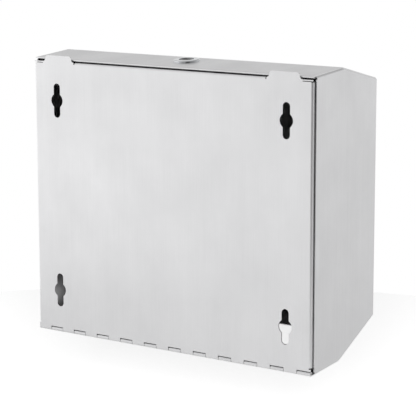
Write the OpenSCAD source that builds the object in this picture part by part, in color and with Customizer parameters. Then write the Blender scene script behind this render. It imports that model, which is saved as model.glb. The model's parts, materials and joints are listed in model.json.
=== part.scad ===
// Surface-mounted folded-towel dispenser in satin stainless sheet.
// The wall side is the plane y = 0 and the front faces -Y. Section outlines are drawn in (y, z)
// with z counted up from the underside of the hinge, and every node is then lowered by half
// the plate's height, so the origin is the centre of the back plate's rear face.

/* [Sheet] */
// Thickness of all folded sheet
sheet = 0.8; // [0.6:0.1:1]
// Inner radius of a fold
fold_r = 0.8; // [0.5:0.1:1.2]
// Length of the sheet turned back at a hem
hem_l = 6; // [4:0.5:8]
// Air left inside a closed hem
hem_air = 0.2; // [0.1:0.05:0.3]

/* [Back plate] */
// Width of the back plate over its side flanges
plate_w = 280; // [270:1:300]
// Height of the back plate from the underside of the hinge
plate_h = 238.5; // [225:0.5:260]
// Depth of the two side flanges
side_flange_d = 12; // [8:0.5:16]
// Depth of the top flange
top_flange_d = 12; // [8:0.5:13]
// Height at which the side flanges begin
side_flange_from = 7; // [6:0.5:20]
// Distance that the side flanges stop below the plate's top edge
side_flange_drop = 2; // [2:0.5:10]
// Open relief where a fold ends beside a flat edge
relief = 1; // [0.6:0.1:1.5]

/* [Stop tabs] */
// Distance from the centre to each stop tab
tab_x = 114; // [100:1:118]
// Width of a tab at its foot
tab_w = 33.5; // [28:0.5:40]
// Height of a tab above the plate's top edge
tab_h = 5.2; // [4:0.1:7]
// Gap between a tab and the closed cover's rear top edge
stop_gap = 0.4; // [0.3:0.1:0.8]

/* [Keyholes] */
// Distance between the left and right keyholes
key_spacing_x = 232; // [200:1:236]
// Distance from the plate's top edge down to the upper keyholes
key_drop = 33.5; // [26:0.5:60]
// Height of the lower keyholes above the underside of the hinge
key_low_z = 38; // [34:0.5:50]
// Length of the slot from end to end
key_slot_l = 29.5; // [24:0.5:34]
// Width of the slot
key_slot_w = 6.8; // [5:0.1:8]
// Diameter of the round hole for the screw head
key_head_d = 12.4; // [10:0.1:14]

/* [Hinge] */
// Diameter of the hinge pin
pin_d = 2; // [1.6:0.1:2.6]
// Radial running clearance between pin and knuckle
pin_clear = 0.05; // [0.02:0.01:0.1]
// Distance from knuckle to knuckle
knuckle_pitch = 12.7; // [10:0.1:16]
// Side gap between neighbouring knuckles
knuckle_gap = 0.4; // [0.2:0.1:0.6]
// Air between a knuckle and the sheet edge that faces it
knuckle_clear = 0.5; // [0.2:0.1:0.6]
// Angle through which the sheet is rolled round the pin
curl_sweep = 270; // [250:5:280]
// Distance that the pin stops short of the plate's sides
pin_inset = 0.5; // [0:0.1:2]

/* [Cover] */
// Depth of the closed cover from the wall
cover_d = 101.6; // [90:0.2:120]
// Gap between the plate's sides and the cover's cheeks
cheek_gap = 0.5; // [0.4:0.1:1]
// Distance from the wall to the cheeks' rear edges
cheek_rear_d = 4; // [4:0.1:6]
// Gap between the plate's top flange and the hem above it
top_gap = 0.9; // [0.7:0.1:1.5]
// Distance from the wall to the ridge of the top
ridge_d = 46; // [42:0.5:60]
// Height of the ridge above the cover's rear top edge
ridge_rise = 3.3; // [2:0.1:6]
// Distance from the ridge down to the front's upper edge
front_drop = 13.5; // [8:0.5:24]
// Height of the front's lower edge
front_bottom_z = 30; // [24:0.5:45]
// Distance from the wall to the lower corner
low_d = 45; // [40:0.5:50]
// Height of the lower corner
low_z = 3; // [2.5:0.1:6]
// Width of the flanges folded in round a cheek
cheek_flange_w = 9.6; // [7:0.2:12]
// Distance from the wall to the rear end of a cheek's upper and lower flanges
cheek_flange_from_d = 11; // [10:0.5:16]
// Length without a hem at the right end of the cover's rear top edge
hem_relief = 10.4; // [10:0.1:14]

/* [Towel outlet] */
// Width of the outlet
outlet_w = 216; // [150:1:250]
// Clear length of the outlet along the lower front slope
outlet_l = 24; // [16:1:30]
// Distance from the lower corner to the outlet, along the slope
outlet_from = 8; // [7:0.5:14]
// Radius of the outlet's corners
outlet_r = 5; // [3:0.5:8]

/* [Lock] */
// Distance from the wall to the lock's axis, on the top
lock_d = 29; // [28:0.5:31]
// Diameter of the lock's head
lock_head_d = 22; // [21:0.5:24]
// Height of the lock's head
lock_head_h = 1.6; // [1.6:0.1:3]
// Radius of the head's rounded rim
lock_head_edge = 1.1; // [0.6:0.1:1.4]
// Diameter of the threaded barrel
barrel_d = 19; // [18:0.1:19.5]
// Distance across the barrel's two flats
barrel_flats = 16; // [15:0.1:17]
// Length of the barrel below the top's surface
barrel_l = 14; // [12:0.5:18]
// Clearance all round the barrel in the sheet
barrel_clear = 0.15; // [0.1:0.05:0.3]
// Distance across the nut's flats
nut_flats = 22.2; // [21.5:0.1:23]
// Thickness of the nut
nut_t = 3; // [2.5:0.1:4]
// Radial clearance of nut and washer on the barrel
nut_clear = 0.05; // [0.02:0.01:0.1]
// Thickness of the toothed washer
washer_t = 0.6; // [0.4:0.1:1]
// Outer diameter of the toothed washer
washer_d = 24; // [23:0.1:26]
// Number of teeth on the washer
washer_teeth = 14; // [10:1:18]
// Depth of the washer's teeth
washer_tooth = 0.8; // [0.5:0.1:1]

/* [Lock core] */
// Diameter of the plug's face
plug_d = 12.7; // [12:0.1:13.5]
// Diameter of the plug's shank
plug_shank_d = 10; // [9.9:0.1:11]
// Radial clearance of the plug in the barrel
plug_clear = 0.05; // [0.02:0.01:0.1]
// Depth of the plug's face below the head's rim
plug_recess = 0.4; // [0.2:0.1:1.2]
// Depth of the plug's shoulder below the top's surface
plug_shoulder = 1.6; // [1:0.1:3]
// Width of the keyway
keyway_w = 1.5; // [1:0.1:2]
// Length of the keyway
keyway_l = 8; // [6:0.1:9]
// Depth of the keyway
keyway_depth = 9; // [6:0.5:10]
// Side of the square on the plug's inner end
tang = 6.8; // [6:0.1:6.9]
// Distance that the square ends short of the cam's outer face
tang_short = 0.2; // [0.1:0.05:0.4]
// Thickness of the stop washer
stop_t = 1; // [0.8:0.1:1.2]
// Radius of the stop washer's round part
stop_r = 6.2; // [5.8:0.1:6.4]
// Gap between the stop washer's round part and the wall round it
stop_side = 0.3; // [0.2:0.05:0.5]
// Air between the stop washer and what it turns past
stop_air = 0.1; // [0.1:0.05:0.2]
// Thickness of the cam
cam_t = 2; // [1.5:0.1:2.5]
// Width of the cam's arm
cam_w = 10; // [8:0.5:12]
// Radius of the cam round the plug
cam_r = 7; // [6.5:0.1:8]
// Height of the cam's hook above its arm
hook_h = 6; // [4:0.5:7]
// Air between the hook and the strike's corners
hook_clear = 0.5; // [0.4:0.1:0.8]
// Angle of the stop washer's lug
lug_angle = 60; // [40:5:70]
// Angle through which the lock turns
lock_angle = 90; // [80:5:100]
// Angle of play left at each stop
stop_slack = 1.5; // [1:0.5:3]

/* [Strike] */
// Width of the strike lip
strike_w = 8; // [6:0.5:10]
// Distance from the wall to the strike lip's front face
strike_d = 15; // [15:0.1:15.5]
// Air between the strike lip and the cam's arm below it
strike_air = 0.8; // [0.5:0.1:1.2]

/* [Cam screw] */
// Diameter of the cam screw's shank
screw_d = 3.2; // [3:0.1:3.4]
// Length of the cam screw's shank
screw_l = 7; // [5:0.5:8]
// Depth of the screw's hole past its end
screw_room = 0.5; // [0.3:0.1:1]
// Diameter of the cam screw's head
screw_head_d = 10; // [9.6:0.1:11]
// Height of the cam screw's head
screw_head_h = 2.2; // [1.8:0.1:3]
// Width of the driver slot
screw_slot_w = 1; // [0.8:0.1:1.4]

/* [Hidden] */
$fn = 96;
steel = "Gainsboro";
bright = "LightGray";
half_w = plate_w / 2;
fold_out = fold_r + sheet;
wrap_out = fold_out + sheet;
knuckle_r = pin_d / 2 + pin_clear + sheet;
knuckle_mid = knuckle_r - sheet / 2;
pin_at = [-knuckle_r, knuckle_r];
notch_z = 2 * knuckle_r + knuckle_clear;
knuckles = floor(plate_w / knuckle_pitch);
leaf_stop_d = 2 * knuckle_r + knuckle_clear;
cheek_in = half_w + cheek_gap;
cheek_out = cheek_in + sheet;
wrap_half = cheek_out - fold_out;
hem_mid = (sheet + hem_air) / 2;
hem_t = 2 * sheet + hem_air;
hem_reach = hem_t / 2;
top_d = sheet + stop_gap;
rear_z = plate_h + top_gap + hem_t;
ridge_z = rear_z + ridge_rise;
front_top_z = ridge_z - front_drop;
flange_half = tab_x - tab_w / 2 - relief;
key_z = [key_low_z, plate_h - key_drop];
barrel_r = barrel_d / 2;
fold_mid = fold_out + sheet / 2;
outlet_to = outlet_from + outlet_l;
far = 50;
past = 1;
eps = 0.01;

// Plane geometry of folded paths: all paths turn left, with the inside on the left
function unit(v) = v / norm(v);
function heading(p, q) = atan2(q[1] - p[1], q[0] - p[0]);
function left_of(u) = [-u[1], u[0]];
function at_y(p, q, y) = p + (q - p) * (y - p[0]) / (q[0] - p[0]);
function in_dir(path, i) = unit(i > 0 ? path[i] - path[i - 1] : path[1] - path[0]);
function out_dir(path, i) = unit(i < len(path) - 1 ? path[i + 1] - path[i] : path[i] - path[i - 1]);
function turn(path, i) = heading([0, 0], out_dir(path, i)) - heading([0, 0], in_dir(path, i));
function left_turn(path, i) = (turn(path, i) + 360) % 360;
function setback(path, i, r) = i == 0 || i == len(path) - 1 ? 0 : r * tan(left_turn(path, i) / 2);
function inset(path, off) = [
    for (i = [0 : len(path) - 1])
        let (a = left_of(in_dir(path, i)), b = left_of(out_dir(path, i)))
            path[i] + off * (a + b) / (1 + a * b)
];

// Outer corners of the cover's section, from its rear top edge forward, down and back to the hinge
low_corner = [-low_d, low_z];
leaf_angle = heading(low_corner, pin_at) - asin(knuckle_r / norm(pin_at - low_corner));
leaf_end = pin_at + knuckle_r * [sin(leaf_angle), -cos(leaf_angle)];
cover_path = [
    [-top_d, rear_z], [-ridge_d, ridge_z], [-cover_d, front_top_z],
    [-cover_d, front_bottom_z], low_corner, leaf_end
];
mid_path = inset(cover_path, sheet / 2);
fold_path = inset(cover_path, wrap_out);
function leg(i) =
    norm(mid_path[5 - i] - mid_path[4 - i])
    - setback(mid_path, 5 - i, fold_mid) - setback(mid_path, 4 - i, fold_mid);
top_angle = heading([-ridge_d, ridge_z], [-top_d, rear_z]);
slope_angle = heading([-cover_d, front_bottom_z], low_corner);

// The lock's place: its axis stands square on the rear slope of the top
lock_z = at_y(cover_path[0], cover_path[1], -lock_d)[1];
stop_z = -barrel_l - stop_air;
cam_top = stop_z - stop_t;
lip_back = lock_d + sin(top_angle) * cam_top - strike_d + sheet;
hook_r = norm([lip_back, strike_w / 2]) + hook_clear;
lip_z = lock_z + cam_top * cos(top_angle) + lip_back * sin(top_angle) + strike_air;

// Carries out a section in (y, z) from x = a to x = b
module along_x(a, b) {
    translate([a, 0, 0])
        rotate([90, 0, 90])
            linear_extrude(b - a)
                children();
}

// Lowers a node into the part's frame
module placed() {
    translate([0, 0, -plate_h / 2])
        children();
}

module ring(r_out, r_in) {
    difference() {
        circle(r_out);
        circle(r_in);
    }
}

// Half of the plane, where x is positive
module half_plane() {
    translate([0, -far])
        square([far, 2 * far]);
}

// Part of a ring between two angles less than 180 degrees apart
module band(r_out, r_in, from, to) {
    intersection() {
        ring(r_out, r_in);
        rotate(from + 90)
            half_plane();
        rotate(to - 90)
            half_plane();
    }
}

// Strip of sheet along +x from the origin
module strip(length) {
    translate([0, -sheet / 2])
        square([length, sheet]);
}

// Bend to the left at the end of a strip, with what follows it
module bend(r, angle) {
    translate([0, r]) {
        band(r + sheet / 2, r - sheet / 2, -90, angle - 90);
        rotate(angle)
            translate([0, -r])
                children();
    }
}

// Hem at the origin on a strip along +x, turned back on its left
module hem() {
    translate([0, hem_mid])
        intersection() {
            ring(hem_mid + sheet / 2, hem_mid - sheet / 2);
            rotate(180)
                half_plane();
        }
    translate([0, 2 * hem_mid - sheet / 2])
        square([hem_l, sheet]);
}

// Sheet rolled round the pin at the origin, out of a strip that lies under it and runs to +x
module curl() {
    difference() {
        ring(knuckle_r, knuckle_r - sheet);
        intersection() {
            half_plane();
            rotate(180 - curl_sweep)
                half_plane();
        }
    }
}

// Back plate outline pieces, drawn in (x, z)
module slot_outline() {
    end = (key_slot_l - key_slot_w) / 2;
    circle(key_head_d / 2);
    square([key_slot_w, 2 * end], center = true);
    for (s = [-1, 1])
        translate([0, s * end])
            circle(key_slot_w / 2);
}

// Tab with two S-shaped flanks, standing on the plate's top edge
module tab_outline() {
    r = tab_h / 2;
    foot = tab_w / 2;
    translate([-foot, -fold_out])
        square([tab_w, fold_out]);
    translate([-foot + tab_h, 0])
        square([tab_w - 2 * tab_h, tab_h]);
    for (s = [0, 1])
        mirror([s, 0]) {
            translate([foot - tab_h, 0])
                square([r, r]);
            translate([foot - tab_h, r])
                intersection() {
                    circle(r);
                    square(r);
                }
            translate([foot - r, 0])
                difference() {
                    square(r);
                    translate([r, r])
                        circle(r);
                }
        }
}

module plate_outline() {
    flat_half = half_w - fold_out;
    ear_from = plate_h - side_flange_drop + relief;
    translate([-flat_half, notch_z])
        square([2 * flat_half, plate_h - fold_out - notch_z]);
    translate([-half_w, notch_z])
        square([plate_w, side_flange_from - relief - notch_z]);
    for (s = [0, 1])
        mirror([s, 0])
            translate([tab_x + tab_w / 2 - eps, ear_from])
                square([half_w - tab_x - tab_w / 2 + eps, plate_h - ear_from]);
    for (s = [-1, 1])
        translate([s * tab_x, plate_h])
            tab_outline();
}

// Ends of the plate's knuckles along x, which are the odd ones counted from the left
function knuckle_from(i) = -half_w + i * knuckle_pitch + knuckle_gap / 2;
function knuckle_to(i) = i == knuckles - 1 ? half_w : -half_w + (i + 1) * knuckle_pitch - knuckle_gap / 2;
// Ends of the windows in the cover's edge that the plate's knuckles stand in
function window_from(i) = knuckle_from(i) - knuckle_gap;
function window_to(i) = knuckle_to(i) + knuckle_gap;

module plate_knuckles() {
    for (i = [1 : 2 : knuckles - 1])
        along_x(knuckle_from(i), knuckle_to(i))
            translate(pin_at)
                rotate(90) {
                    curl();
                    translate([0, -knuckle_mid])
                        strip(notch_z - pin_at[1]);
                }
}

// Side flange section in (x, y) at the plate's right edge
module side_flange_section() {
    translate([half_w - fold_out, -fold_out])
        intersection() {
            ring(fold_out, fold_r);
            square(fold_out);
        }
    translate([half_w - sheet, -side_flange_d])
        square([sheet, side_flange_d - fold_out]);
}

// The top flange, and the strike lip bent down from its middle
module top_flange() {
    r = fold_r + sheet / 2;
    bend_z = plate_h - fold_out;
    along_x(-flange_half, flange_half)
        translate([-sheet / 2, bend_z - relief])
            rotate(90) {
                strip(relief);
                translate([relief, 0])
                    bend(r, 90)
                        strip(top_flange_d - fold_out);
            }
    along_x(-strike_w / 2, strike_w / 2)
        translate([-sheet / 2, bend_z])
            rotate(90)
                bend(r, 90) {
                    strip(strike_d - 2 * fold_out);
                    translate([strike_d - 2 * fold_out, 0])
                        bend(r, 90)
                            strip(bend_z - lip_z);
                }
}

module back_plate() {
    color(steel)
        placed() {
            difference() {
                rotate([90, 0, 0])
                    linear_extrude(sheet)
                        plate_outline();
                for (s = [-1, 1], z = key_z)
                    translate([s * key_spacing_x / 2, eps, z])
                        rotate([90, 0, 0])
                            linear_extrude(sheet + 2 * eps)
                                slot_outline();
            }
            for (s = [0, 1])
                mirror([s, 0, 0])
                    translate([0, 0, side_flange_from])
                        linear_extrude(plate_h - side_flange_drop - side_flange_from)
                            side_flange_section();
            top_flange();
            plate_knuckles();
        }
}

module hinge_pin() {
    color(bright)
        placed()
            along_x(-half_w + pin_inset, half_w - pin_inset)
                translate(pin_at)
                    circle(pin_d / 2);
}

// Leg i of the cover's section, counted from the hinge, with the bend and the legs that follow
module wrap_leg(i, outlet, hemmed) {
    last = i == 4;
    length = leg(i) - (last && hemmed ? hem_reach : 0);
    if (i == 1 && outlet) {
        start = wrap_out * tan(left_turn(cover_path, 4) / 2);
        low_edge = outlet_from - hem_reach - start;
        high_edge = outlet_to + hem_reach - start;
        strip(low_edge);
        translate([low_edge, 0])
            mirror([1, 0])
                hem();
        translate([high_edge, 0]) {
            strip(length - high_edge);
            hem();
        }
    } else {
        strip(length);
    }
    if (last && hemmed)
        translate([length, 0])
            mirror([1, 0])
                hem();
    if (!last)
        translate([length, 0])
            bend(fold_mid, left_turn(mid_path, 4 - i))
                wrap_leg(i + 1, outlet, hemmed);
}

// The cover's section, drawn from the pin: +x runs forward along the bottom and +y points inside
module wrap_section(outlet = false, hemmed = true) {
    translate(pin_at)
        rotate(leaf_angle + 180)
            mirror([0, 1]) {
                curl();
                translate([0, -knuckle_mid])
                    wrap_leg(0, outlet, hemmed);
            }
}

// Cut through the lower front slope with rounded corners, for the sheet beside the outlet's hems
module outlet_cut() {
    translate([0, low_corner[0], low_corner[1]])
        rotate([slope_angle, 0, 0])
            translate([0, -outlet_from - outlet_l / 2, -sheet])
                linear_extrude(3 * sheet) {
                    square([outlet_w - 2 * outlet_r, outlet_l], center = true);
                    square([outlet_w, outlet_l - 2 * outlet_r], center = true);
                    for (x = [-1, 1], y = [-1, 1])
                        translate([x * (outlet_w / 2 - outlet_r), y * (outlet_l / 2 - outlet_r)])
                            circle(outlet_r);
                }
}

module cover_wrap() {
    hem_half = outlet_w / 2 - outlet_r;
    relief_x = wrap_half - hem_relief;
    color(steel)
        placed()
            difference() {
                union() {
                    along_x(-hem_half, hem_half)
                        wrap_section(outlet = true);
                    difference() {
                        union() {
                            along_x(-wrap_half, -hem_half)
                                wrap_section();
                            along_x(hem_half, relief_x)
                                wrap_section();
                            along_x(relief_x, wrap_half)
                                wrap_section(hemmed = false);
                        }
                        outlet_cut();
                    }
                }
                on_lock()
                    translate([0, 0, -2 * sheet])
                        linear_extrude(3 * sheet)
                            barrel_outline(barrel_clear);
                for (i = [1 : 2 : knuckles - 1])
                    translate([window_from(i), -leaf_stop_d, -past])
                        cube([window_to(i) - window_from(i), leaf_stop_d + past, 2 * (knuckle_r + past)]);
            }
}

// Bend at a cheek's edge, in (x, outward from the fold line), with some of the flat sheet
module bend_section() {
    translate([cheek_in, -relief])
        square([sheet, relief]);
    translate([wrap_half, 0])
        intersection() {
            ring(fold_out, fold_r);
            square(fold_out);
        }
}

// The flange beyond the bend
module flange_section() {
    bend_section();
    translate([cheek_out - cheek_flange_w, fold_r])
        square([cheek_flange_w - fold_out, sheet]);
}

// Carries a section along fold i, between two distances from its start
module along_fold(i, from, to) {
    translate([0, fold_path[i][0], fold_path[i][1]])
        rotate([heading(fold_path[i], fold_path[i + 1]), 0, 0])
            rotate([-90, 0, 0])
                translate([0, 0, from])
                    linear_extrude(to - from)
                        children();
}

// Distance along fold i to a depth from the wall
function fold_at(i, d) = norm(at_y(fold_path[i], fold_path[i + 1], -d) - fold_path[i]);

// Point on the mitre at a corner of the fold line, outside it for positive k
function mitre_point(i, k) = fold_path[i] - k * (left_of(in_dir(fold_path, i)) + left_of(out_dir(fold_path, i)));

// Space between the mitres at the two ends of fold i
module between_mitres(i) {
    lap = out_dir(fold_path, i) * eps;
    along_x(wrap_half - relief, cheek_out + relief)
        polygon([
            mitre_point(i, fold_out) - lap, mitre_point(i, -relief) - lap,
            mitre_point(i + 1, -relief) + lap, mitre_point(i + 1, fold_out) + lap
        ]);
}

// The right cheek of the cover: a flat sheet with a flange folded in on every edge but the rear
module cheek() {
    rim = inset(cover_path, wrap_out + relief / 2);
    over = 2 * fold_out;
    along_x(cheek_in, cheek_out)
        polygon([
            at_y(rim[0], rim[1], -cheek_rear_d), rim[1], rim[2], rim[3], rim[4],
            at_y(rim[4], rim[5], -cheek_rear_d)
        ]);
    for (i = [0 : 4]) {
        length = norm(fold_path[i + 1] - fold_path[i]);
        rear_end = cheek_rear_d + relief;
        from = i == 0 ? fold_at(i, rear_end) : -over;
        to = i == 4 ? fold_at(i, rear_end) : length + over;
        flange_from = i == 0 ? fold_at(i, cheek_flange_from_d) : relief;
        flange_to = i == 4 ? fold_at(i, cheek_flange_from_d) : length - relief;
        intersection() {
            along_fold(i, from, to)
                bend_section();
            between_mitres(i);
        }
        along_fold(i, flange_from, flange_to)
            flange_section();
    }
}

module side_panel_right() {
    color(steel)
        placed()
            cheek();
}

module side_panel_left() {
    color(steel)
        placed()
            mirror([1, 0, 0])
                cheek();
}

// Frame on the top's rear slope at the lock: z stands square on the sheet
module on_lock() {
    translate([0, -lock_d, lock_z])
        rotate([top_angle, 0, 0])
            children();
}

// Section of the barrel with its two flats, grown by some clearance
module barrel_outline(grow = 0) {
    intersection() {
        circle(barrel_r + grow);
        square([barrel_flats + 2 * grow, barrel_d + 2 * grow], center = true);
    }
}

// Head of the lock with a rounded rim
module head_section() {
    r = lock_head_d / 2;
    square([r - lock_head_edge, lock_head_h]);
    square([r, lock_head_h - lock_head_edge]);
    translate([r - lock_head_edge, lock_head_h - lock_head_edge])
        intersection() {
            circle(lock_head_edge);
            square(lock_head_edge);
        }
}

module lock_body() {
    wall_from = lug_angle / 2 + lock_angle + stop_slack - 180;
    wall_to = 180 - lug_angle / 2 - stop_slack;
    wall_r = stop_r + stop_side;
    wall_mid = (wall_from + wall_to) / 2;
    color(bright)
        placed()
            on_lock() {
                difference() {
                    union() {
                        rotate_extrude()
                            head_section();
                        translate([0, 0, -barrel_l])
                            linear_extrude(barrel_l)
                                barrel_outline();
                    }
                    translate([0, 0, -plug_shoulder - stop_air])
                        cylinder(h = lock_head_h + plug_shoulder + past, r = plug_d / 2 + plug_clear);
                    translate([0, 0, -barrel_l - past])
                        cylinder(h = barrel_l, r = plug_shank_d / 2 + plug_clear);
                }
                translate([0, 0, -barrel_l - stop_t])
                    linear_extrude(stop_t + eps)
                        intersection() {
                            barrel_outline();
                            union() {
                                band(barrel_r, wall_r, wall_from, wall_mid);
                                band(barrel_r, wall_r, wall_mid, wall_to);
                            }
                        }
            }
}

module lock_washer() {
    notch = PI * washer_d / washer_teeth / 2;
    color(bright)
        placed()
            on_lock()
                translate([0, 0, -sheet - washer_t])
                    linear_extrude(washer_t)
                        difference() {
                            ring(washer_d / 2, barrel_r + nut_clear);
                            for (i = [0 : washer_teeth - 1])
                                rotate(i * 360 / washer_teeth)
                                    translate([washer_d / 2 - washer_tooth, -notch / 2])
                                        square([2 * washer_tooth, notch]);
                        }
}

module lock_nut() {
    color(bright)
        placed()
            on_lock()
                translate([0, 0, -sheet - washer_t - nut_t])
                    linear_extrude(nut_t)
                        difference() {
                            rotate(30)
                                circle(nut_flats / 2 / cos(30), $fn = 6);
                            circle(barrel_r + nut_clear);
                        }
}

module lock_plug() {
    face = lock_head_h - plug_recess;
    tang_end = cam_top - cam_t + tang_short;
    color(bright)
        placed()
            on_lock()
                difference() {
                    union() {
                        translate([0, 0, -plug_shoulder])
                            cylinder(h = face + plug_shoulder, r = plug_d / 2);
                        translate([0, 0, stop_z])
                            cylinder(h = -stop_z, r = plug_shank_d / 2);
                        translate([-tang / 2, -tang / 2, tang_end])
                            cube([tang, tang, stop_z - tang_end + eps]);
                    }
                    translate([-keyway_l / 2, -keyway_w / 2, face - keyway_depth])
                        cube([keyway_l, keyway_w, keyway_depth + past]);
                    translate([0, 0, cam_top - cam_t])
                        cylinder(h = screw_l + screw_room, r = screw_d / 2 + plug_clear);
                }
}

// Square hole that fits the plug's tang
module tang_hole() {
    square(tang + 2 * plug_clear, center = true);
}

module stop_washer() {
    lug_r = barrel_r - plug_clear;
    color(bright)
        placed()
            on_lock()
                translate([0, 0, cam_top])
                    linear_extrude(stop_t)
                        difference() {
                            union() {
                                circle(stop_r);
                                band(lug_r, stop_r - past, 180 - lug_angle / 2, 180 + lug_angle / 2);
                            }
                            tang_hole();
                        }
}

// Arm of the cam out to radius r, at rest along +X
module cam_arm(r_out, r_in) {
    intersection() {
        ring(r_out, r_in);
        translate([0, -cam_w / 2])
            square([r_out, cam_w]);
    }
}

module lock_cam() {
    hook_out = hook_r + cam_t;
    color(bright)
        placed()
            on_lock()
                translate([0, 0, cam_top - cam_t]) {
                    linear_extrude(cam_t)
                        difference() {
                            union() {
                                circle(cam_r);
                                cam_arm(hook_out, tang / 2);
                            }
                            tang_hole();
                        }
                    linear_extrude(cam_t + hook_h)
                        cam_arm(hook_out, hook_r);
                }
}

module cam_screw() {
    edge = screw_slot_w;
    r = screw_head_d / 2;
    color(bright)
        placed()
            on_lock()
                translate([0, 0, cam_top - cam_t]) {
                    cylinder(h = screw_l, r = screw_d / 2);
                    difference() {
                        mirror([0, 0, 1])
                            rotate_extrude() {
                                square([r - edge, screw_head_h]);
                                square([r, screw_head_h - edge]);
                                translate([r - edge, screw_head_h - edge])
                                    intersection() {
                                        circle(edge);
                                        square(edge);
                                    }
                            }
                        translate([-r, -screw_slot_w / 2, -screw_head_h - past])
                            cube([2 * r, screw_slot_w, 2 * past]);
                    }
                }
}

back_plate();
hinge_pin();
cover_wrap();
side_panel_left();
side_panel_right();
lock_body();
lock_washer();
lock_nut();
lock_plug();
stop_washer();
lock_cam();
cam_screw();
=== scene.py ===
# %% [markdown]
# # A wall-hung paper towel dispenser in stainless sheet
#
# The real thing is a folded box of 0.8 mm stainless sheet. A flat back plate is screwed to the
# wall, and a cover of one wrapped sheet with two cheeks hangs on it by a long piano hinge. A cam
# lock in the top holds the cover shut. The photo looks at the back plate from behind, so this
# scene does too.
#
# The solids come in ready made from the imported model. This lesson gives them their metal, adds
# the small pieces that a solid model leaves out, and sets up the camera and the light.

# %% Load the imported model
import json
import math

import bmesh
import bpy
from mathutils import Matrix, Quaternion, Vector


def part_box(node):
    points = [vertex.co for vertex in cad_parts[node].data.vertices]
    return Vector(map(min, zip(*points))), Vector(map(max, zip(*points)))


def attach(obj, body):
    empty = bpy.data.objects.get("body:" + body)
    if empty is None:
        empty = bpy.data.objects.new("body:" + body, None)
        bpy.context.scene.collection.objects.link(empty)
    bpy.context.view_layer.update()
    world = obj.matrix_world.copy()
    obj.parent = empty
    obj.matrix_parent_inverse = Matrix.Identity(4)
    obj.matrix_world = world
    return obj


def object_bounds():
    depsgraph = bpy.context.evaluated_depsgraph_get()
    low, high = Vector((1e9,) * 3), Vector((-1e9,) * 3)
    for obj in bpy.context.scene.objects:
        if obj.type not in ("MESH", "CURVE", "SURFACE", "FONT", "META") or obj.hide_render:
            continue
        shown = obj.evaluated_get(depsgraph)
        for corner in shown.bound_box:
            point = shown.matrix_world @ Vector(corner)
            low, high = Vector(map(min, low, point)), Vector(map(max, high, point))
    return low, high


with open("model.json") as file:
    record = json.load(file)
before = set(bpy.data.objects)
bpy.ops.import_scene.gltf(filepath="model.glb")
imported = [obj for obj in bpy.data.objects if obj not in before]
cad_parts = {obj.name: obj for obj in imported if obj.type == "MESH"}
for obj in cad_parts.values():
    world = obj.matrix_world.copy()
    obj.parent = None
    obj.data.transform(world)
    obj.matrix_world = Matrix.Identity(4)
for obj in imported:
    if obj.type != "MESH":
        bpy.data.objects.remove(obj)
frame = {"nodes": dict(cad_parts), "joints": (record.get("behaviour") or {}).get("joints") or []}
cad_box = [list(corner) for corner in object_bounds()]
nodes = frame["nodes"]
print(len(nodes), "nodes, box", cad_box)

# %% [markdown]
# ## The camera
#
# The camera stands about a metre and a half away and has a long lens, so upright edges stay nearly
# parallel, as they are in the photo. The place was found by matching the corners of the plate,
# the ridge of the top and the left cheek with their places in the photo. `to_track_quat` turns a
# viewing direction into a rotation, which is easier to read than three angles.

# %% Place the camera
CAMERA_AT = Vector((-0.8342, 1.1574, 0.2706))
LENS_MM = 151.0
SENSOR_MM = 36.0
AZIMUTH = math.radians(214.417)
ELEVATION = math.radians(10.594)
ROLL = math.radians(-0.119)
FARTHEST_SEEN = 50.0

back = Vector((
    math.sin(AZIMUTH) * math.cos(ELEVATION),
    -math.cos(AZIMUTH) * math.cos(ELEVATION),
    math.sin(ELEVATION),
))
camera_data = bpy.data.cameras.new("camera")
camera_data.lens = LENS_MM
camera_data.sensor_width = SENSOR_MM
camera_data.clip_end = FARTHEST_SEEN
camera = bpy.data.objects.new("camera", camera_data)
bpy.context.scene.collection.objects.link(camera)
camera.rotation_mode = "QUATERNION"
camera.rotation_quaternion = back.to_track_quat("Z", "Y") @ Quaternion((0, 0, 1), ROLL)
camera.location = CAMERA_AT
bpy.context.scene.camera = camera
print("camera at", tuple(CAMERA_AT))

# %% [markdown]
# ## Small helpers for materials
#
# A material is a little graph of nodes. One function adds a node, sets its values and makes its
# links, so that each material below reads like a recipe. Colours are written as the hex values
# that a picture editor shows, and are turned to the linear values that Blender works with.

# %% Node and colour helpers
def linear(code):
    """Linear RGBA of an sRGB hex colour such as '#C8C8C8'."""
    parts = [int(code[i:i + 2], 16) / 255 for i in (1, 3, 5)]
    return [p / 12.92 if p <= 0.04045 else ((p + 0.055) / 1.055) ** 2.4 for p in parts] + [1.0]


def add(tree, kind, inputs=None, **settings):
    """A new node. A socket given as a value is linked, and anything else is set."""
    node = tree.nodes.new(kind)
    for name, value in settings.items():
        setattr(node, name, value)
    for socket, value in (inputs or {}).items():
        if isinstance(value, bpy.types.NodeSocket):
            tree.links.new(value, node.inputs[socket])
        else:
            node.inputs[socket].default_value = value
    return node


def new_material(name):
    """An empty material and its node tree."""
    material = bpy.data.materials.new(name)
    material.use_nodes = True
    material.node_tree.nodes.clear()
    return material, material.node_tree


def finish_material(tree, shader):
    """Links a shader to the material's output."""
    add(tree, "ShaderNodeOutputMaterial", {"Surface": shader.outputs[0]})


# %% [markdown]
# ## Stainless sheet
#
# The sheets are 304 stainless. A belt of fine grit draws long parallel scratches in it, which
# spread a reflection across the grain and keep it short along the grain. From arm's length one
# sees no scratches, only a soft sheen with faint streaks and a cloudy variation from handling.
#
# The grain follows the sheet as it came from the roll. On the plate and the wrap it runs square
# to X, so it is upright on the front and runs front to back on the top. On the cheeks it is
# upright too. Noise stretched along the grain draws it: its scale across the grain is one over
# the scratch width. Real scratches are under 0.1 mm wide and wouldn't show, so they are drawn
# 0.5 mm wide.
#
# The plate is named for a mill finish, because nobody sees it in use. It is drawn the same way, a
# little paler and duller than the cover.

# %% Brushed stainless sheet
MM = 0.001
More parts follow.
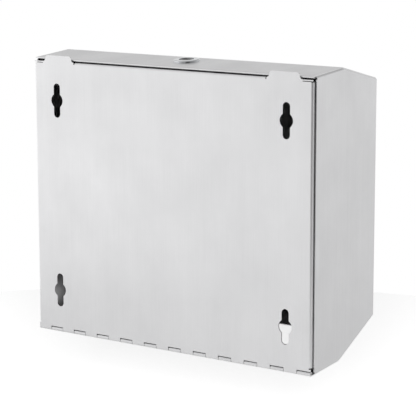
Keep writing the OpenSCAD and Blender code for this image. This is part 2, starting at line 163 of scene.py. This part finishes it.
# Width and length of each scale of the grain in millimetres, with the detail of its noise
STREAK = (0.5, 60.0, 3.0)
BAND = (7.0, 240.0, 2.0)
CLOUD = (45.0, 63.0, 4.0)
GRAIN_ROUGHNESS = 0.6
# Share of each scale in the mixed pattern
STREAK_SHARE = 0.35
BAND_SHARE = 0.1
CLOUD_SHARE = 0.55
# Where the mixed pattern reaches its deep and its pale end, in colour and in roughness
TONE_ENDS = (0.32, 0.68)
ROUGH_ENDS = (0.3, 0.7)
ROUGH_SPREAD = 0.05
SCRATCH_DEPTH_MM = 0.02
SCRATCH_STRENGTH = 0.12


def brushed_steel(name, pale, deep, across, roughness):
    """Stainless sheet whose grain lines follow each other along the axis `across` (0 x, 1 y, 2 z)."""
    material, tree = new_material(name)
    place = add(tree, "ShaderNodeTexCoord").outputs["Object"]

    def stretched(width_mm, length_mm, detail):
        scale = [1 / (length_mm * MM)] * 3
        scale[across] = 1 / (width_mm * MM)
        spread = add(tree, "ShaderNodeMapping", {"Vector": place, "Scale": scale})
        return add(tree, "ShaderNodeTexNoise", {
            "Vector": spread.outputs[0], "Scale": 1.0, "Detail": detail,
            "Roughness": GRAIN_ROUGHNESS,
        }).outputs["Fac"]

    streaks = stretched(*STREAK)
    bands = stretched(*BAND)
    clouds = stretched(*CLOUD)
    grain = add(tree, "ShaderNodeMath", {0: streaks, 1: STREAK_SHARE}, operation="MULTIPLY")
    wide = add(tree, "ShaderNodeMath", {
        0: bands, 1: BAND_SHARE, 2: grain.outputs[0],
    }, operation="MULTIPLY_ADD")
    mixed = add(tree, "ShaderNodeMath", {
        0: clouds, 1: CLOUD_SHARE, 2: wide.outputs[0],
    }, operation="MULTIPLY_ADD")
    tone = add(tree, "ShaderNodeMapRange", {
        "Value": mixed.outputs[0], "From Min": TONE_ENDS[0], "From Max": TONE_ENDS[1],
        "To Min": 0.0, "To Max": 1.0,
    })
    colour = add(tree, "ShaderNodeMix", {
        "Factor": tone.outputs[0], 6: linear(deep), 7: linear(pale),
    }, data_type="RGBA")
    rough = add(tree, "ShaderNodeMapRange", {
        "Value": mixed.outputs[0], "From Min": ROUGH_ENDS[0], "From Max": ROUGH_ENDS[1],
        "To Min": roughness + ROUGH_SPREAD, "To Max": roughness - ROUGH_SPREAD,
    })
    bump = add(tree, "ShaderNodeBump", {
        "Height": streaks, "Strength": SCRATCH_STRENGTH, "Distance": SCRATCH_DEPTH_MM * MM,
    })
    shader = add(tree, "ShaderNodeBsdfPrincipled", {
        "Base Color": colour.outputs[2], "Metallic": 1.0, "Roughness": rough.outputs[0],
        "Normal": bump.outputs[0],
    })
    finish_material(tree, shader)
    return material


plate_steel = brushed_steel("mill_finished_stainless_plate", "#E8E8E9", "#DFDFE0", 0, 0.34)
cover_steel = brushed_steel("satin_brushed_stainless_cover", "#E6E6E7", "#DBDBDC", 0, 0.33)
cheek_steel = brushed_steel("satin_brushed_stainless_cheeks", "#E6E6E7", "#DBDBDC", 1, 0.33)
print("three sheets of stainless")

# %% [markdown]
# ## Drawn wire, chrome, nickel and zinc
#
# The hinge pin is drawn stainless wire, with fine lines along its length. The lock's body is
# die-cast zinc with polished chrome plate over it: very smooth, a little wavy from the buffing
# wheel. Its turning plug is nickel plated, and its colour is painted near black as painted shade,
# for the shade in its recess inside the bright head. The nut, washers, cam and screw are steel
# with clear zinc plating, which looks softer and bluer than stainless and is mottled where the
# plating crystals differ.

# %% Metals of the small parts
MOTTLE_DETAIL = 3.0
MOTTLE_ROUGHNESS = 0.55
MOTTLE_TONE_ENDS = (0.35, 0.65)
MOTTLE_ROUGH_ENDS = (0.3, 0.7)
MOTTLE_STRENGTH = 0.2
# The wire's lines are fifty times as long as they are wide
WIRE_LINES = (0.02, 1, 1)


def smooth_metal(name, pale, deep, roughness, mottle_mm, spread, bump_mm, stretch=(1, 1, 1)):
    """Plated or drawn metal: two near colours mottled at one size, with a faint matching relief."""
    material, tree = new_material(name)
    place = add(tree, "ShaderNodeTexCoord").outputs["Object"]
    scaled = add(tree, "ShaderNodeMapping", {
        "Vector": place, "Scale": [s / (mottle_mm * MM) for s in stretch],
    })
    mottle = add(tree, "ShaderNodeTexNoise", {
        "Vector": scaled.outputs[0], "Scale": 1.0, "Detail": MOTTLE_DETAIL,
        "Roughness": MOTTLE_ROUGHNESS,
    }).outputs["Fac"]
    tone = add(tree, "ShaderNodeMapRange", {
        "Value": mottle, "From Min": MOTTLE_TONE_ENDS[0], "From Max": MOTTLE_TONE_ENDS[1],
    })
    colour = add(tree, "ShaderNodeMix", {
        "Factor": tone.outputs[0], 6: linear(deep), 7: linear(pale),
    }, data_type="RGBA")
    rough = add(tree, "ShaderNodeMapRange", {
        "Value": mottle, "From Min": MOTTLE_ROUGH_ENDS[0], "From Max": MOTTLE_ROUGH_ENDS[1],
        "To Min": roughness - spread, "To Max": roughness + spread,
    })
    bump = add(tree, "ShaderNodeBump", {
        "Height": mottle, "Strength": MOTTLE_STRENGTH, "Distance": bump_mm * MM,
    })
    shader = add(tree, "ShaderNodeBsdfPrincipled", {
        "Base Color": colour.outputs[2], "Metallic": 1.0, "Roughness": rough.outputs[0],
        "Normal": bump.outputs[0],
    })
    finish_material(tree, shader)
    return material


pin_wire = smooth_metal(
    "drawn_stainless_wire", "#C4C4C2", "#A9A9A7", 0.28, 0.4, 0.06, 0.01, WIRE_LINES)
chrome = smooth_metal("polished_chrome_plate", "#D8DADC", "#CED0D3", 0.07, 3.0, 0.02, 0.01)
# The plug's near-black colour is painted shade for its recess in the head, not the nickel's own
# colour
plug_painted_shade = smooth_metal(
    "black_nickel_plated_plug", "#39393B", "#2B2B2D", 0.26, 0.8, 0.05, 0.01)
zinc = smooth_metal("clear_zinc_plated_steel", "#C6CACF", "#ABB0B6", 0.36, 1.2, 0.08, 0.02)
print("four metals for the small parts")

# %% Give each node its metal
FINISH = {
    "back_plate": plate_steel,
    "cover_wrap": cover_steel,
    "side_panel_left": cheek_steel,
    "side_panel_right": cheek_steel,
    "hinge_pin": pin_wire,
    "lock_body": chrome,
    "lock_plug": plug_painted_shade,
    "lock_washer": zinc,
    "lock_nut": zinc,
    "stop_washer": zinc,
    "lock_cam": zinc,
    "cam_screw": zinc,
}
for name, material in FINISH.items():
    data = nodes[name].data
    if not data.materials:
        data.materials.append(material)
    for i in range(len(data.materials)):
        data.materials[i] = material
print("finished", len(FINISH), "nodes")

# %% [markdown]
# ## Making pieces by hand
#
# The solids leave out what is too small for them. Each such piece starts as a primitive, is
# shaped in edit mode and ends as a closed shell whose faces point outwards. An operator acts on
# all that is selected, so everything is deselected before a new piece is added. At the end a
# piece's place goes into its mesh, and its object stays at the origin like a CAD node's.

# %% Helpers for pieces
SAME_POINT = 1e-7


def begin(primitive, name, **size):
    """Adds a primitive at the origin on its own and opens it in edit mode with nothing selected."""
    bpy.ops.object.select_all(action="DESELECT")
    primitive(**size)
    piece = bpy.context.object
    piece.name = name
    bpy.ops.object.mode_set(mode="EDIT")
    bpy.ops.mesh.select_all(action="DESELECT")
    return piece


def pick(piece, test, kind="faces"):
    """Selects the faces or edges whose middle passes a test, in edit mode."""
    mesh = bmesh.from_edit_mesh(piece.data)
    for element in list(mesh.faces) + list(mesh.edges) + list(mesh.verts):
        element.select = False
    for element in getattr(mesh, kind):
        if kind == "faces":
            middle = element.calc_center_median()
        else:
            middle = (element.verts[0].co + element.verts[1].co) / 2
        if test(middle):
            element.select_set(True)
    bmesh.update_edit_mesh(piece.data)


def close_up(piece, angle):
    """Leaves edit mode with merged doubles, outward faces and smooth shading below an angle."""
    bpy.ops.mesh.select_all(action="SELECT")
    bpy.ops.mesh.remove_doubles(threshold=SAME_POINT)
    bpy.ops.mesh.normals_make_consistent(inside=False)
    bpy.ops.object.mode_set(mode="OBJECT")
    bpy.ops.object.shade_smooth_by_angle(angle=math.radians(angle))


def settle(piece, place, material, body):
    """Puts a piece's place into its mesh, gives it its finish and lets it ride on a body."""
    piece.data.transform(place)
    piece.matrix_world = Matrix.Identity(4)
    piece.data.materials.clear()
    piece.data.materials.append(material)
    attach(piece, body)
    print(piece.name, len(piece.data.polygons), "faces on", body)


def copy_of(piece, name, place):
    """A copy with its own mesh, moved by a matrix."""
    twin = bpy.data.objects.new(name, piece.data.copy())
    bpy.context.scene.collection.objects.link(twin)
    twin.data.transform(place)
    return twin


def joined(parts, name):
    """One object out of several."""
    bpy.ops.object.select_all(action="DESELECT")
    for part in parts:
        part.select_set(True)
    bpy.context.view_layer.objects.active = parts[0]
    bpy.ops.object.join()
    parts[0].name = name
    return parts[0]


# %% [markdown]
# ## Where the lock stands
#
# The lock leans with the slope of the top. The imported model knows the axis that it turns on, so
# the matrix below takes a piece that was built upright at the origin to its place on that axis.
# Height zero is the outer face of the sheet that the lock's head lies on.

# %% The lock's own frame
lock_joint = next(j for j in frame["joints"] if j["name"] == "lock_turn")
lock_axis = Vector(lock_joint["axis"]).normalized()
upright = lock_axis.to_track_quat("Z", "Y").to_matrix().to_4x4()
at_lock = Matrix.Translation(Vector(lock_joint["pos_m"])) @ upright
sideways = at_lock.to_3x3() @ Vector((1, 0, 0))
at_lock = at_lock @ Matrix.Rotation(-math.atan2(sideways.y, sideways.x), 4, "Z")
print("lock leans", round(math.degrees(lock_axis.angle(Vector((0, 0, 1)))), 2), "degrees")

# %% [markdown]
# ## Thread on the lock's barrel
#
# The barrel below the nut carries a 1 mm thread on its round sides, and its two flats are bare.
# A triangle is carried round and down by the Screw modifier, and two bisect cuts take off what
# would stand proud of the flats. It is a ridge laid on the plain barrel of the solid model.

# %% Barrel thread
BARREL_R = 9.5 * MM
FLAT_X = 8.0 * MM
THREAD_PITCH = 1.0 * MM
THREAD_H = 0.32 * MM
THREAD_ROOT = 0.1 * MM
THREAD_FLANK = 0.42 * THREAD_PITCH
THREAD_FROM = -5.2 * MM
THREAD_TURNS = 8
THREAD_STEPS = 48
# Faces that meet at less than this many degrees are shaded as one smooth surface
THREAD_SMOOTH = 20

thread = begin(
    bpy.ops.mesh.primitive_circle_add, "barrel_thread",
    vertices=3, radius=THREAD_H, fill_type="NOTHING")
mesh = bmesh.from_edit_mesh(thread.data)
section = [(-THREAD_ROOT, -THREAD_FLANK), (THREAD_H, 0.0), (-THREAD_ROOT, THREAD_FLANK)]
for corner, (out, up) in zip(mesh.verts, section):
    corner.co = Vector((BARREL_R + out, 0, THREAD_FROM + up))
bmesh.update_edit_mesh(thread.data)
bpy.ops.object.mode_set(mode="OBJECT")
screw = thread.modifiers.new("screw", "SCREW")
screw.angle = 2 * math.pi * THREAD_TURNS
screw.screw_offset = -THREAD_PITCH * THREAD_TURNS
screw.steps = screw.render_steps = THREAD_STEPS * THREAD_TURNS
bpy.ops.object.modifier_apply(modifier="screw")
bpy.ops.object.mode_set(mode="EDIT")
bpy.ops.mesh.select_all(action="SELECT")
bpy.ops.mesh.fill_holes(sides=3)
for side in (-1, 1):
    bpy.ops.mesh.select_all(action="SELECT")
    bpy.ops.mesh.bisect(
        plane_co=(side * FLAT_X, 0, 0), plane_no=(side, 0, 0), use_fill=True, clear_outer=True)
close_up(thread, THREAD_SMOOTH)
settle(thread, at_lock, chrome, "cover")

# %% [markdown]
# ## Wafers in the keyway
#
# Looking down the keyway one sees the edges of the wafers that the key lifts. They are stamped
# from brass sheet with slightly rounded edges, and stand by turns at either end of the slot.
# Their yellow sets them apart from the grey metals round them.

# %% Key wafers
WAFER = Vector((2.4, 1.46, 0.6)) * MM
WAFER_ROUND = 0.12 * MM
WAFER_COUNT = 4
WAFER_STEP = 1.7 * MM
FIRST_WAFER_DOWN = 0.4 * MM
KEYWAY_END = 4.0 * MM
WAFER_SMOOTH = 40
SAME_PLACE = 1e-6

brass = smooth_metal("stamped_brass_wafer", "#D9BC7C", "#C2A263", 0.3, 0.7, 0.05, 0.01)


def outer_edge(middle):
    """True on the wafer's upper and lower rims and on its two ends."""
    on_face = abs(abs(middle.z) - WAFER.z / 2) < SAME_PLACE
    on_end = abs(abs(middle.x) - WAFER.x / 2) < SAME_PLACE
    return on_face or on_end


first = begin(bpy.ops.mesh.primitive_cube_add, "wafer", size=1.0)
bpy.ops.mesh.select_all(action="SELECT")
bpy.ops.transform.resize(value=WAFER)
pick(first, outer_edge, "edges")
bpy.ops.mesh.bevel(offset=WAFER_ROUND, segments=3, affect="EDGES")
close_up(first, WAFER_SMOOTH)
wafers = []
for i in range(WAFER_COUNT):
    side = 1 if i % 2 else -1
    down = FIRST_WAFER_DOWN + i * WAFER_STEP
    spot = Matrix.Translation((side * (KEYWAY_END - WAFER.x / 2), 0, -down))
    wafers.append(copy_of(first, f"wafer_{i}", spot))
bpy.data.objects.remove(first)
key_wafers = joined(wafers, "key_wafers")
settle(key_wafers, at_lock, brass, "lock_core")

# %% [markdown]
# ## Crowned ends of the hinge pin
#
# The pin can't slide out because its ends are tapped over with a hammer, which leaves a low
# crown on each. A short cylinder whose outer edge is bevelled round makes it, sunk a little way
# into the pin and small enough to stand inside the last knuckle.

# %% Pin crowns
CROWN_R = 0.97 * MM
CROWN_H = 0.7 * MM
CROWN_ROUND = 0.3 * MM
CROWN_INSET = 0.25 * MM
CROWN_RISE = 0.06 * MM
CROWN_SMOOTH = 50
# What lies above this height belongs to the top, and outside this radius to its rim
CROWN_TOP = 0.45 * CROWN_H
CROWN_RIM = 0.5 * CROWN_R
pin_low, pin_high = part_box("hinge_pin")
pin_mid = (pin_low + pin_high) / 2

crown = begin(
    bpy.ops.mesh.primitive_cylinder_add, "pin_crown", vertices=32, radius=CROWN_R, depth=CROWN_H)
pick(crown, lambda m: m.z > CROWN_TOP and m.xy.length > CROWN_RIM, "edges")
bpy.ops.mesh.bevel(offset=CROWN_ROUND, segments=5, affect="EDGES")
pick(crown, lambda m: m.z > CROWN_TOP)
bpy.ops.mesh.inset(thickness=CROWN_INSET)
bpy.ops.transform.translate(value=(0, 0, CROWN_RISE))
close_up(crown, CROWN_SMOOTH)
for side, word, end_x in ((-1, "left", pin_low.x), (1, "right", pin_high.x)):
    outward = Matrix.Rotation(side * math.pi / 2, 4, "Y")
    place = Matrix.Translation((end_x, pin_mid.y, pin_mid.z)) @ outward
    twin = copy_of(crown, f"pin_crown_{word}", Matrix.Identity(4))
    settle(twin, place, pin_wire, "back")
bpy.data.objects.remove(crown)

# %% [markdown]
# ## Spot welds
#
# The flanges of each cheek are spot-welded to the wrap from the inside. Each weld leaves a round
# dent with a low rim where the electrode pressed, and the outside is linished smooth again, so
# nothing shows there. One weld is made from a cylinder: its top is inset and pushed in for the
# dish, and the rim is bevelled. It is then copied along every flange.

# %% One spot weld
WELD_R = 2.3 * MM
WELD_H = 0.24 * MM
WELD_RIM = 0.8 * MM
WELD_DISH = 0.1 * MM
WELD_ROUND = 0.08 * MM
WELD_SMOOTH = 60
WELD_TOP = 0.4 * WELD_H

weld = begin(bpy.ops.mesh.primitive_cylinder_add, "weld", vertices=28, radius=WELD_R, depth=WELD_H)
pick(weld, lambda m: m.z > WELD_TOP)
bpy.ops.mesh.inset(thickness=WELD_RIM)
bpy.ops.transform.translate(value=(0, 0, -WELD_DISH))
pick(weld, lambda m: abs(m.z - WELD_H / 2) < SAME_PLACE, "edges")
bpy.ops.mesh.bevel(offset=WELD_ROUND, segments=3, affect="EDGES")
close_up(weld, WELD_SMOOTH)
print("one weld of", len(weld.data.polygons), "faces")

# %% Rows of spot welds
SHEET = 0.8 * MM
WELD_X = 135.4 * MM
# Outer corners of the cover in (y, z), from the rear top edge forward and down to the lower corner
RIM = [Vector(p) * MM for p in (
    (-1.2, 121.95),
    (-46.0, 125.25),
    (-101.6, 111.75),
    (-101.6, -89.25),
    (-45.0, -116.25),
    (-1.9, -119.25),
)]
# On each leg: the first and the last weld's distance from its ends in mm, and how many there are
WELDS = [(13.0, 10.0, 2), (10.0, 12.0, 3), (14.0, 14.0, 6), (12.0, 12.0, 3), (10.0, 16.0, 2)]

for side, word in ((-1, "left"), (1, "right")):
    marks = []
    for start, end, (near, far, count) in zip(RIM, RIM[1:], WELDS):
        run = (end - start).normalized()
        inward = Vector((-run.y, run.x))
        spread = (end - start).length - (near + far) * MM
        for i in range(count):
            along = near * MM + spread * i / (count - 1)
            spot = start + run * along + inward * (2 * SHEET)
            turn = Vector((0, inward.x, inward.y)).to_track_quat("Z", "X").to_matrix().to_4x4()
            place = Matrix.Translation((side * WELD_X, spot.x, spot.y)) @ turn
            marks.append(copy_of(weld, f"weld_{word}_{len(marks)}", place))
    welds = joined(marks, f"spot_welds_{word}")
    settle(welds, Matrix.Identity(4), cheek_steel, "cover")
bpy.data.objects.remove(weld)

# %% [markdown]
# ## The ground
#
# The photo has a plain white ground. The dispenser hangs on a wall and its cover swings down by
# its whole depth, so the round sheet of white paper lies a bit more than that below it and
# catches its soft shadow. A glow, seen by camera rays and faintly by mirrored ones, lifts the
# paper to white and puts hardly more light on the metal. From below it is clear, so the
# underside can be judged. Beyond the paper the world itself is the backdrop.

# %% Paper ground
FLOOR_R = 0.7
FLOOR_GAP = 0.004
COVER_DEPTH = cad_box[1][1] - cad_box[0][1]
FLOOR_Z = cad_box[0][2] - COVER_DEPTH - FLOOR_GAP
GLOW_SEEN = 0.49
GLOW_MIRRORED = 0.09

bpy.ops.object.select_all(action="DESELECT")
bpy.ops.mesh.primitive_circle_add(
    vertices=128, radius=FLOOR_R, fill_type="NGON", location=(0, 0, FLOOR_Z))
floor = bpy.context.object
floor.name = "floor"
floor.data.transform(floor.matrix_world)
floor.matrix_world = Matrix.Identity(4)


def ray_kinds(tree):
    """Two values: the first is 1 for camera rays, the second for mirrored and transmitted ones."""
    ray = add(tree, "ShaderNodeLightPath")
    mirrored = add(tree, "ShaderNodeMath", {
        0: ray.outputs["Is Glossy Ray"], 1: ray.outputs["Is Transmission Ray"],
    }, operation="MAXIMUM")
    return ray.outputs["Is Camera Ray"], mirrored.outputs[0]


floor_paint, tree = new_material("white_paper_ground")
from_camera, mirrored = ray_kinds(tree)
faint = add(tree, "ShaderNodeMath", {0: mirrored, 1: GLOW_MIRRORED}, operation="MULTIPLY")
glow = add(tree, "ShaderNodeMath", {
    0: from_camera, 1: GLOW_SEEN, 2: faint.outputs[0],
}, operation="MULTIPLY_ADD")
paper = add(tree, "ShaderNodeBsdfDiffuse", {"Color": linear("#F6F6F6")})
light = add(tree, "ShaderNodeEmission", {"Color": linear("#FFFFFF"), "Strength": glow.outputs[0]})
lit = add(tree, "ShaderNodeAddShader", {0: paper.outputs[0], 1: light.outputs[0]})
below = add(tree, "ShaderNodeNewGeometry").outputs["Backfacing"]
clear = add(tree, "ShaderNodeBsdfTransparent")
finish_material(tree, add(tree, "ShaderNodeMixShader", {
    0: below, 1: lit.outputs[0], 2: clear.outputs[0],
}))
floor.data.materials.append(floor_paint)
print("floor at", round(FLOOR_Z, 4))

# %% [markdown]
# ## The studio
#
# Bare metal shows what stands round it, and that is what gives it form. The studio here is pale
# all round and brightest low down on the wall side, where the window is. The front side is
# darker, most of all low down and high up, and it is a bit darker overhead too. A dark doorway
# with a darker corridor in its middle stands to the left of the window, where the photographer
# is. The doorway draws the dark line along the plate's right edge and the dark accents in the
# chrome. For the camera itself the backdrop is plain white.
#
# Each `ramp` is a soft step in one direction of the world. The step `to_window` mixes the front
# side with the window side, and the other steps are multiplied.

# %% Studio round the object
DOORWAY = Vector((-0.70, 0.70, 0.12)).normalized()
# A dark disc: angles from the doorway's middle at its outer and inner edge, and its level
DOORWAY_DISC = (104, 34, 0.34)
CORRIDOR_DISC = (26, 14, 0.15)
# A soft step: where it starts and ends in its direction, and the levels before and after it
LOW_FRONT = (-0.5, -0.05, 0.58, 0.9)
HIGH_FRONT = (0.05, 0.6, 1.0, 0.62)
TO_WINDOW = (-0.75, 0.55, 0.0, 1.0)
WINDOW = (0.0, 0.45, 1.29, 1.07)
OVERHEAD = (0.35, 1.0, 1.0, 0.82)

world = bpy.data.worlds.new("white_studio")
world.use_nodes = True
bpy.context.scene.world = world
tree = world.node_tree
tree.nodes.clear()
direction = add(tree, "ShaderNodeTexCoord").outputs["Generated"]
axes = add(tree, "ShaderNodeSeparateXYZ", {0: direction})


def ramp(value, start, end, low, high):
    """Smooth change from low to high while a value goes from start to end."""
    return add(tree, "ShaderNodeMapRange", {
        "Value": value, "From Min": start, "From Max": end, "To Min": low, "To Max": high,
    }, interpolation_type="SMOOTHSTEP").outputs[0]


def times(a, b):
    """Product of two values."""
    return add(tree, "ShaderNodeMath", {0: a, 1: b}, operation="MULTIPLY").outputs[0]


def dark_disc(outer, inner, level):
    """1 outside the outer angle and `level` inside the inner one, round the doorway's middle."""
    start, end = (math.cos(math.radians(angle)) for angle in (outer, inner))
    return ramp(to_door.outputs["Value"], start, end, 1.0, level)


low_front = ramp(axes.outputs["Z"], *LOW_FRONT)
high_front = ramp(axes.outputs["Z"], *HIGH_FRONT)
front_side = times(low_front, high_front)
to_window = ramp(axes.outputs["Y"], *TO_WINDOW)
window = ramp(axes.outputs["Z"], *WINDOW)
window_side = add(tree, "ShaderNodeMix", {0: to_window, 2: front_side, 3: window}).outputs[0]
overhead = ramp(axes.outputs["Z"], *OVERHEAD)
to_door = add(tree, "ShaderNodeVectorMath", {0: direction, 1: DOORWAY}, operation="DOT_PRODUCT")
doorway = dark_disc(*DOORWAY_DISC)
corridor = dark_disc(*CORRIDOR_DISC)
studio = times(times(window_side, overhead), times(doorway, corridor))
print("studio of", len(tree.nodes), "nodes")

# %% White backdrop for the camera
# What the world gives to diffuse rays, such as those from the paper
ROOM_LEVEL = 0.35

from_camera, mirrored = ray_kinds(tree)
backdrop = add(tree, "ShaderNodeMath", {0: from_camera, 1: studio}, operation="MAXIMUM")
seen = add(tree, "ShaderNodeMath", {0: from_camera, 1: mirrored}, operation="MAXIMUM")
room = add(tree, "ShaderNodeBackground", {"Color": linear("#FFFFFF"), "Strength": ROOM_LEVEL})
paper_wall = add(tree, "ShaderNodeBackground", {
    "Color": linear("#FFFFFF"), "Strength": backdrop.outputs[0],
})
sky = add(tree, "ShaderNodeMixShader", {
    0: seen.outputs[0], 1: room.outputs[0], 2: paper_wall.outputs[0],
})
add(tree, "ShaderNodeOutputWorld", {"Surface": sky.outputs[0]})
print("backdrop set")

# %% [markdown]
# ## The lamp
#
# One soft lamp shines from behind the photographer's shoulder, a little higher than the camera.
# It gives the paper its shadow, which falls behind the dispenser and leaves the ground in front
# white. Metal would show it as a hard white square, so it is hidden from mirrored rays: the studio
# alone lights the steel, at the level at which a colour comes out as it is written.

# %% Lamp and view
LAMP_AT = Vector((-1.3, 1.9, 0.53))
LAMP_SIZE = 0.7
LAMP_WATTS = 75.0

lamp_data = bpy.data.lights.new("door_lamp", "AREA")
lamp_data.shape = "SQUARE"
lamp_data.size = LAMP_SIZE
lamp_data.energy = LAMP_WATTS
lamp = bpy.data.objects.new("door_lamp", lamp_data)
bpy.context.scene.collection.objects.link(lamp)
lamp.location = LAMP_AT
lamp.rotation_mode = "QUATERNION"
lamp.rotation_quaternion = LAMP_AT.to_track_quat("Z", "Y")
lamp.visible_glossy = False
lamp.visible_camera = False

bpy.context.scene.view_settings.view_transform = "Standard"
print("lamp and view set")
